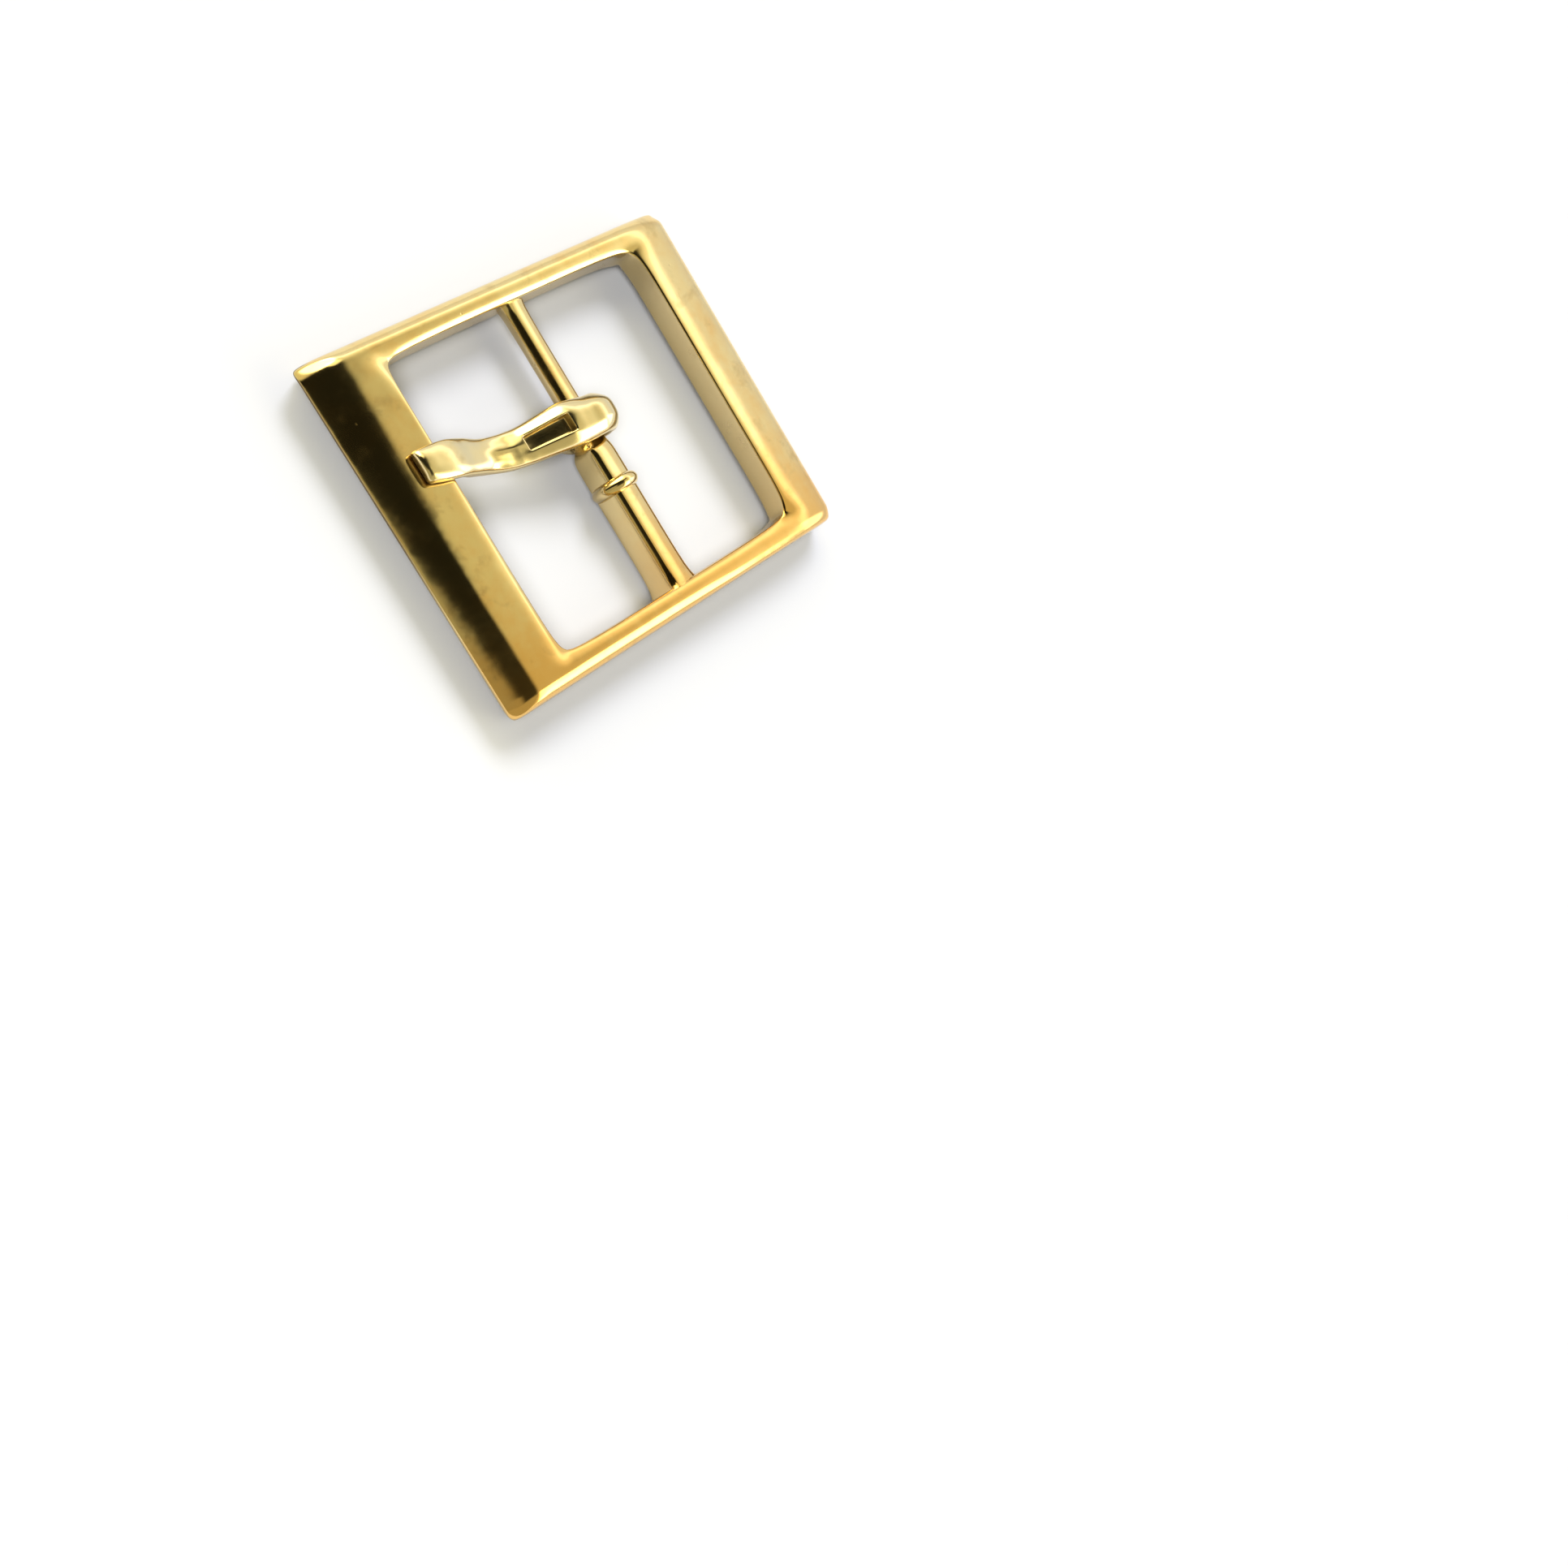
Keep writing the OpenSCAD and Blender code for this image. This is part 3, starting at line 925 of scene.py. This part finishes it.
@dataclass
class BentTongue:
    """The tongue: a flat blank, shaped and then bent round the bar.

    Lengths are in millimetres. The blank lies along X, with its tail's end at 0 and its front face up.
    """

    bar: Vector
    rim_z: float = 2.55
    thick: float = 0.82
    eye_shift: tuple[float, float] = (0.15, 0.08)
    loop_r: float = 1.46
    tail_l: float = 3.04
    tail_bevel: float = 0.49
    tip_gap: float = 0.05
    tail_angle: float = 239.0
    loop_y0: float = 0.22
    loop_y1: float = 2.38
    tail_middle: float = 1.6
    tail_width: float = 1.8
    slot_from: float = 1.6
    slot_to: float = 4.05
    slot_y: float = 1.52
    slot_reach: float = 0.42
    slot_deep: float = 0.62
    panel_reach: float = 0.5
    panel_deep: float = 0.1
    seat_from: float = 8.2
    edge_round: float = 0.10
    shoulders: tuple[float, float] = (0.45, 0.70)
    shoulder_l: float = 1.3
    lane_share: float = 0.34
    lanes: tuple[float, ...] = (-0.66, -0.37, 0.0, 0.37, 0.66)
    tail_rows: tuple[float, ...] = (0.86, 1.7, 2.54)

    def __post_init__(self) -> None:
        """Works out the bend's path. The loop's top is at 90 degrees, one whole turn on."""
        self.rim = self.rim_z - self.bar.z
        self.sweep = math.radians(90 + 360 - self.tail_angle)
        self.path = self._path()
        self.lengths = [0.0]
        for (x0, z0), (x1, z1) in zip(self.path, self.path[1:]):
            self.lengths.append(self.lengths[-1] + math.hypot(x1 - x0, z1 - z0))

    def _path(self) -> list[tuple[float, float]]:
        """The middle line of the strip in X and Z from the bar's axis: tail, loop, then the strip.

        Returns:
            Its points.
        """
        tail_steps, loop_steps, strip_steps = 8, 48, 68
        cx, cz = self.eye_shift
        turn = math.radians(self.tail_angle)
        foot = (cx + self.loop_r * math.cos(turn), cz + self.loop_r * math.sin(turn))
        back = (math.sin(turn), -math.cos(turn))
        points = [(foot[0] + back[0] * self.tail_l * k / tail_steps,
                   foot[1] + back[1] * self.tail_l * k / tail_steps) for k in range(tail_steps, 0, -1)]
        turns = [turn + self.sweep * k / loop_steps for k in range(loop_steps + 1)]
        points += [(cx + self.loop_r * math.cos(t), cz + self.loop_r * math.sin(t)) for t in turns]
        step, half = 0.05, self.thick / 2
        for reach in [0.25 + 0.15 * k for k in range(strip_steps)]:
            rise = strip_at("rise", reach)
            beyond, before = (strip_at("rise", reach + s) for s in (step, -step))
            slope = (beyond - before) / (2 * step)
            lean = math.hypot(1, slope)
            points.append((-reach - half * slope / lean, self.rim + rise - half / lean))
        return points

    def length_at(self, reach: float) -> float:
        """Length along the path, from the tail's end, at which the strip has come to a reach.

        Args:
            reach: distance from the bar's axis towards the tip.

        Returns:
            The length.
        """
        for i in range(len(self.path) - 1, 0, -1):
            x0, x1 = -self.path[i - 1][0], -self.path[i][0]
            if x0 <= reach:
                step = min(1.0, (reach - x0) / (x1 - x0))
                return self.lengths[i - 1] + step * (self.lengths[i] - self.lengths[i - 1])
        return 0.0

    def blank(self) -> Workpiece:
        """The flat blank: cut into rows and lanes, each row brought to its width and place.

        Returns:
            The blank.
        """
        whole = self.lengths[-1]
        half = self.thick / 2
        piece = Workpiece.block("tongue_dress", (0, -1, -half), (whole, 1, half))
        arc, loop_parts = self.sweep * self.loop_r, 10
        loop_rows = [self.tail_l + arc * k / loop_parts for k in range(loop_parts + 1)]
        reaches = [0.7, 1.1, self.slot_from, 2.3, 2.9, 3.5, self.slot_to, 4.4, 4.8, 5.3, 5.75, 6.2, 6.7,
                   7.2, 7.75, 8.3, 8.85, 9.4, 9.9]
        strip_rows = [self.length_at(reach) for reach in reaches]
        piece.cut(Axis.X, [*self.tail_rows, *loop_rows, *strip_rows])
        piece.cut(Axis.Y, self.lanes)
        for x in [0.0, *self.tail_rows]:
            self._place_row(piece, x, self.tail_middle, self.tail_width / 2)
        for x in loop_rows:
            self._place_row(piece, x, (self.loop_y0 + self.loop_y1) / 2, (self.loop_y1 - self.loop_y0) / 2,
                            self.shoulders)
        for x, reach in zip([*strip_rows, whole], [*reaches, STRIP[-1].reach]):
            crown = strip_at("crown", reach)
            slopes = [max(crown, drop * (1 - reach / self.shoulder_l)) for drop in self.shoulders]
            self._place_row(piece, x, strip_at("middle", reach),
                            strip_at("width", reach) / 2, slopes)
            self._shape_row(piece, x, reach)
        return piece

    def _place_row(self, piece: Workpiece, x: float, middle: float, half_width: float,
                   slopes: Sequence[float] = (0.0, 0.0)) -> None:
        """Brings one row of the blank to its width and place.

        Args:
            piece: the blank.
            x: where the row is.
            middle: where its middle goes along Y.
            half_width: half its width.
            slopes: how far its front falls to its two edges.
        """
        for side, drop in zip((-1, 1), slopes):
            for lane, share in ((1.0, 1.0), (self.lanes[-1], self.lane_share)):
                if drop:
                    piece.shift(lambda p: near(p.x, x, ROW) and near(p.y, side * lane, ROW) and p.z > 0,
                                (0, 0, -drop * share))
        piece.squeeze(lambda p: near(p.x, x, ROW), (1, half_width, 1), (x, 0, 0))
        piece.shift(lambda p: near(p.x, x, ROW), (0, middle, 0))

    def _shape_row(self, piece: Workpiece, x: float, reach: float) -> None:
        """Gives one row of the strip its raised middle, its pinched edges and its seat on the bar.

        Args:
            piece: the blank.
            x: where the row is.
            reach: its reach.
        """
        middle = strip_at("middle", reach)
        half_width = strip_at("width", reach) / 2
        piece.shift(lambda p: near(p.x, x, ROW) and p.z > 0 and abs(p.y - middle) < 0.1 * half_width,
                    (0, 0, strip_at("lift", reach)))
        piece.shift(lambda p: near(p.x, x, ROW) and p.z > 0 and abs(p.y - middle) > 0.9 * half_width,
                    (0, 0, -strip_at("pinch", reach)))
        if reach > self.seat_from:
            seat = self.tip_gap + self.thick - strip_at("rise", reach)
            piece.shift(lambda p: near(p.x, x, ROW) and p.z < 0, (0, 0, max(0.0, seat)))

    def sink_slot(self, piece: Workpiece) -> None:
        """Sinks the slot and the tail's panel, and slants the tail's end.

        Args:
            piece: the blank.
        """
        slot = (self.length_at(self.slot_from), self.length_at(self.slot_to))
        panel = (self.tail_rows[0], self.tail_rows[-1])
        for (start, stop), y, reach, deep in (
                (slot, self.slot_y, self.slot_reach, self.slot_deep),
                (panel, self.tail_middle, self.panel_reach, self.panel_deep)):
            piece.pull_faces(lambda face: face.normal.z > 0.8
                             and start < face.calc_center_median().x < stop
                             and near(face.calc_center_median().y, y, reach), (0, 0, -deep))
        piece.shift(lambda p: p.x < ROW and p.z > 0, (self.tail_bevel, 0, 0))

    def bend(self, piece: Workpiece) -> None:
        """Bends the blank along its path round the bar, its front outwards, and brings it to the bar.

        Args:
            piece: the blank.
        """
        piece.edit()
        piece.squeeze(lambda p: True, (1, 1, -1), (0, 0, 0))
        line = bpy.data.curves.new("bend_path", "CURVE")
        line.dimensions = "3D"
        line.twist_mode = "MINIMUM"
        spline = line.splines.new("POLY")
        spline.points.add(len(self.path) - 1)
        for point, (x, z) in zip(spline.points, self.path):
            point.co = (x, 0, z, 1)
        former = bpy.data.objects.new("bend_former", line)
        bpy.context.scene.collection.objects.link(former)
        piece.modify("CURVE", object=former, deform_axis="POS_X")
        bpy.data.objects.remove(former)
        piece.edit()
        piece.shift(lambda p: True, (self.bar.x, 0, self.bar.z))
        bpy.ops.mesh.select_all(action="SELECT")
        bpy.ops.mesh.normals_make_consistent(inside=False)

    def flatten_back(self, piece: Workpiece) -> None:
        """Cuts the back of the loop flat, in the plane that the rods rest on.

        Args:
            piece: the bent tongue.
        """
        bpy.ops.mesh.select_all(action="SELECT")
        bpy.ops.mesh.bisect(plane_co=(0, 0, 0), plane_no=(0, 0, 1), use_fill=True, clear_inner=True,
                            threshold=SNAP)
        bpy.ops.object.mode_set(mode="OBJECT")

    def build(self) -> bpy.types.Object:
        """Makes the tongue and puts it in its place.

        Returns:
            The finished object.
        """
        piece = self.blank()
        self.sink_slot(piece)
        sunk_from, sunk_to, sunk_reach = 0.6, self.length_at(self.slot_to) + 0.1, 0.7
        piece.round_edges(lambda e: is_sharp(e) and all(
            sunk_from < v.co.x < sunk_to and near(v.co.y, self.tail_middle, sunk_reach)
            for v in e.verts), self.edge_round, 2)
        piece.soften(2)
        self.bend(piece)
        self.flatten_back(piece)
        return piece.done("tongue", "tongue", "tongue_gold", TONGUE_GOLD)


@dataclass(frozen=True)
class Lamp:
    """A soft lamp far away. spread is how wide it looks, in degrees."""

    name: str
    toward: Triple
    power: float
    spread: float
    colour: Colour


LAMPS = (
    Lamp("key", (0.50, 0.62, 0.80), 3.0, 26, (1.0, 1.05, 1.30)),
    Lamp("fill", (-0.60, -0.06, 0.80), 3.5, 24, (0.97, 0.99, 1.05)),
)


@dataclass
class Studio:
    """The table, the light round it and the camera. Lengths are in millimetres."""

    camera_at: Triple = (-55.26, -5.93, 73.83)
    camera_aim: Triple = (0.865, -19.775, 0.0)
    camera_roll: float = 69.78
    lens: float = 40.99
    sensor: float = 36.0
    table: float = 1600.0
    table_colour: Colour = (0.392, 0.392, 0.392)
    backdrop: Colour = (0.94, 0.94, 0.94)

    def lay_table(self) -> None:
        """A plain pale table top under the buckle."""
        bpy.ops.object.select_all(action="DESELECT")
        bpy.ops.mesh.primitive_plane_add(size=self.table * MM, location=(0, 0, 0))
        top = bpy.context.object
        top.name = "table_top"
        skin = bpy.data.materials.new("table_white")
        skin.use_nodes = True
        bench = NodeBench(skin.node_tree)
        shader = bench.node("ShaderNodeBsdfDiffuse", None, {"Color": (*self.table_colour, 1)})
        bench.node("ShaderNodeOutputMaterial", None, {"Surface": shader.outputs[0]})
        top.data.materials.append(skin)

    def light(self) -> None:
        """Puts a tent of light round the table, which the metal mirrors, and hangs the lamps.

        The camera sees a plain pale backdrop instead of the tent.
        """
        world = bpy.data.worlds.new("tent")
        bpy.context.scene.world = world
        world.use_nodes = True
        bench = NodeBench(world.node_tree)
        x, y, z = bench.parts(bench.node("ShaderNodeTexCoord").outputs["Generated"])
        lean = x.angle_from(z) * (180 / math.pi)
        glow = self._tent(y, lean) + self._boxes(x, y, z)
        tint = bench.blend(lean.ease(28, 60), (1.0, 0.92, 0.58), (1.0, 1.0, 1.0))
        tint = bench.blend(lean.ease(66, 90) * y.ease(0.45, 0.25), tint, (1.0, 1.06, 1.25))
        lit = bench.node("ShaderNodeBackground", None, {"Color": tint, "Strength": glow})
        plain = bench.node("ShaderNodeBackground", None, {"Color": (*self.backdrop, 1), "Strength": 1.0})
        seen = bench.node("ShaderNodeLightPath").outputs["Is Camera Ray"]
        sky = bench.node("ShaderNodeMixShader", None, {0: seen, 1: lit.outputs[0], 2: plain.outputs[0]})
        bench.node("ShaderNodeOutputWorld", None, {"Surface": sky.outputs[0]})
        for lamp in LAMPS:
            self._hang(lamp)

    @staticmethod
    def _tent(y: Signal, lean: Signal) -> Signal:
        """The tent's wall, with a dark opening over the wide end's side.

        Args:
            y: a direction's part along Y.
            lean: its lean from straight up towards +X, in degrees.

        Returns:
            How bright the wall is there.
        """
        top_edge = y.ease(0.04, 0.10) * 13.0 + y.ease(0.11, 0.17) * 4.0 + 13.0
        low_edge = (y * -230.0 - 42.0).most(-86.0).least(-26.0)
        over = lean - top_edge
        wall = over.ease(-5, 6) * 0.70 + lean.ease(34, 42) * 0.44 + lean.ease(43, 48) * 0.66
        wall = wall - lean.ease(52, 60) * 0.85 - lean.ease(64, 88) * 0.14
        far_side = (lean - low_edge).ease(10, -10) * over.ease(6, -5) * 0.42
        sides = y.ease(0.45, 0.65) * 0.8 + y.ease(-0.42, -0.58) * 0.5
        return (wall + far_side).most(sides).most(y.ease(0.03, -0.03) * 0.035 + 0.012)

    @staticmethod
    def _boxes(x: Signal, y: Signal, z: Signal) -> Signal:
        """Four bright boxes: at the lowest Y, at the narrow end, at the highest Y and above that one.

        Args:
            x: a direction's part along X.
            y: its part along Y.
            z: its part along Z.

        Returns:
            How bright the boxes are there.
        """
        near_box = y.ease(-0.40, -0.50) * y.ease(-0.95, -0.86) * x.ease(0.24, 0.38) * x.ease(0.662, 0.618)
        end_box = y.ease(-0.15, -0.25) * y.ease(-0.75, -0.65) * x.ease(0.69, 0.76)
        aim = Vector((-0.05, 0.87, 0.46)).normalized()
        far_box = (x * aim.x + y * aim.y + z * aim.z).ease(0.86, 0.90)
        aim = Vector((0.24, 0.57, 0.80)).normalized()
        high_box = (x * aim.x + y * aim.y + z * aim.z).ease(0.955, 0.985)
        boxes = near_box * 3.6 + end_box * 1.6 + far_box * 4.0 + high_box * 1.4
        return boxes * z.ease(0.15, 0.25)

    def _hang(self, lamp: Lamp) -> None:
        """Adds a soft lamp that lights the table and isn't mirrored in the metal.

        Args:
            lamp: the lamp.
        """
        sun = bpy.data.lights.new(lamp.name, "SUN")
        sun.energy = lamp.power
        sun.angle = math.radians(lamp.spread)
        sun.color = lamp.colour
        hung = bpy.data.objects.new(lamp.name, sun)
        hung.visible_glossy = False
        bpy.context.scene.collection.objects.link(hung)
        hung.rotation_euler = Vector(lamp.toward).to_track_quat("Z", "Y").to_euler()

    def set_camera(self) -> None:
        """Puts the camera where the photograph was taken from."""
        lens = bpy.data.cameras.new("camera")
        lens.lens = self.lens
        lens.sensor_width = self.sensor
        lens.clip_start = MM
        camera = bpy.data.objects.new("camera", lens)
        bpy.context.scene.collection.objects.link(camera)
        place = Vector(self.camera_at)
        facing = (Vector(self.camera_aim) - place).to_track_quat("-Z", "Y").to_matrix().to_4x4()
        roll = Matrix.Rotation(math.radians(self.camera_roll), 4, "Z")
        camera.matrix_world = Matrix.Translation(place * MM) @ facing @ roll
        bpy.context.scene.camera = camera

    def set_up(self) -> None:
        """Lays the table and sets the light and the camera."""
        self.lay_table()
        self.light()
        self.set_camera()
        bpy.context.scene.view_settings.view_transform = "Standard"


def main() -> None:
    """Builds the buckle's pieces in order, then the table and the light."""
    logging.basicConfig(level=logging.INFO, format="%(name)s: %(message)s")
    low, high = (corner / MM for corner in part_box("frame"))
    hinge = Vector(frame["joints"][0]["pos_m"]) / MM
    casting = FrameCasting(low, high, hinge).build()
    log.info("%s has %d faces", casting.name, len(casting.data.polygons))
    tongue = BentTongue(hinge).build()
    log.info("%s has %d faces", tongue.name, len(tongue.data.polygons))
    Studio().set_up()


if __name__ == "__main__":
    main()
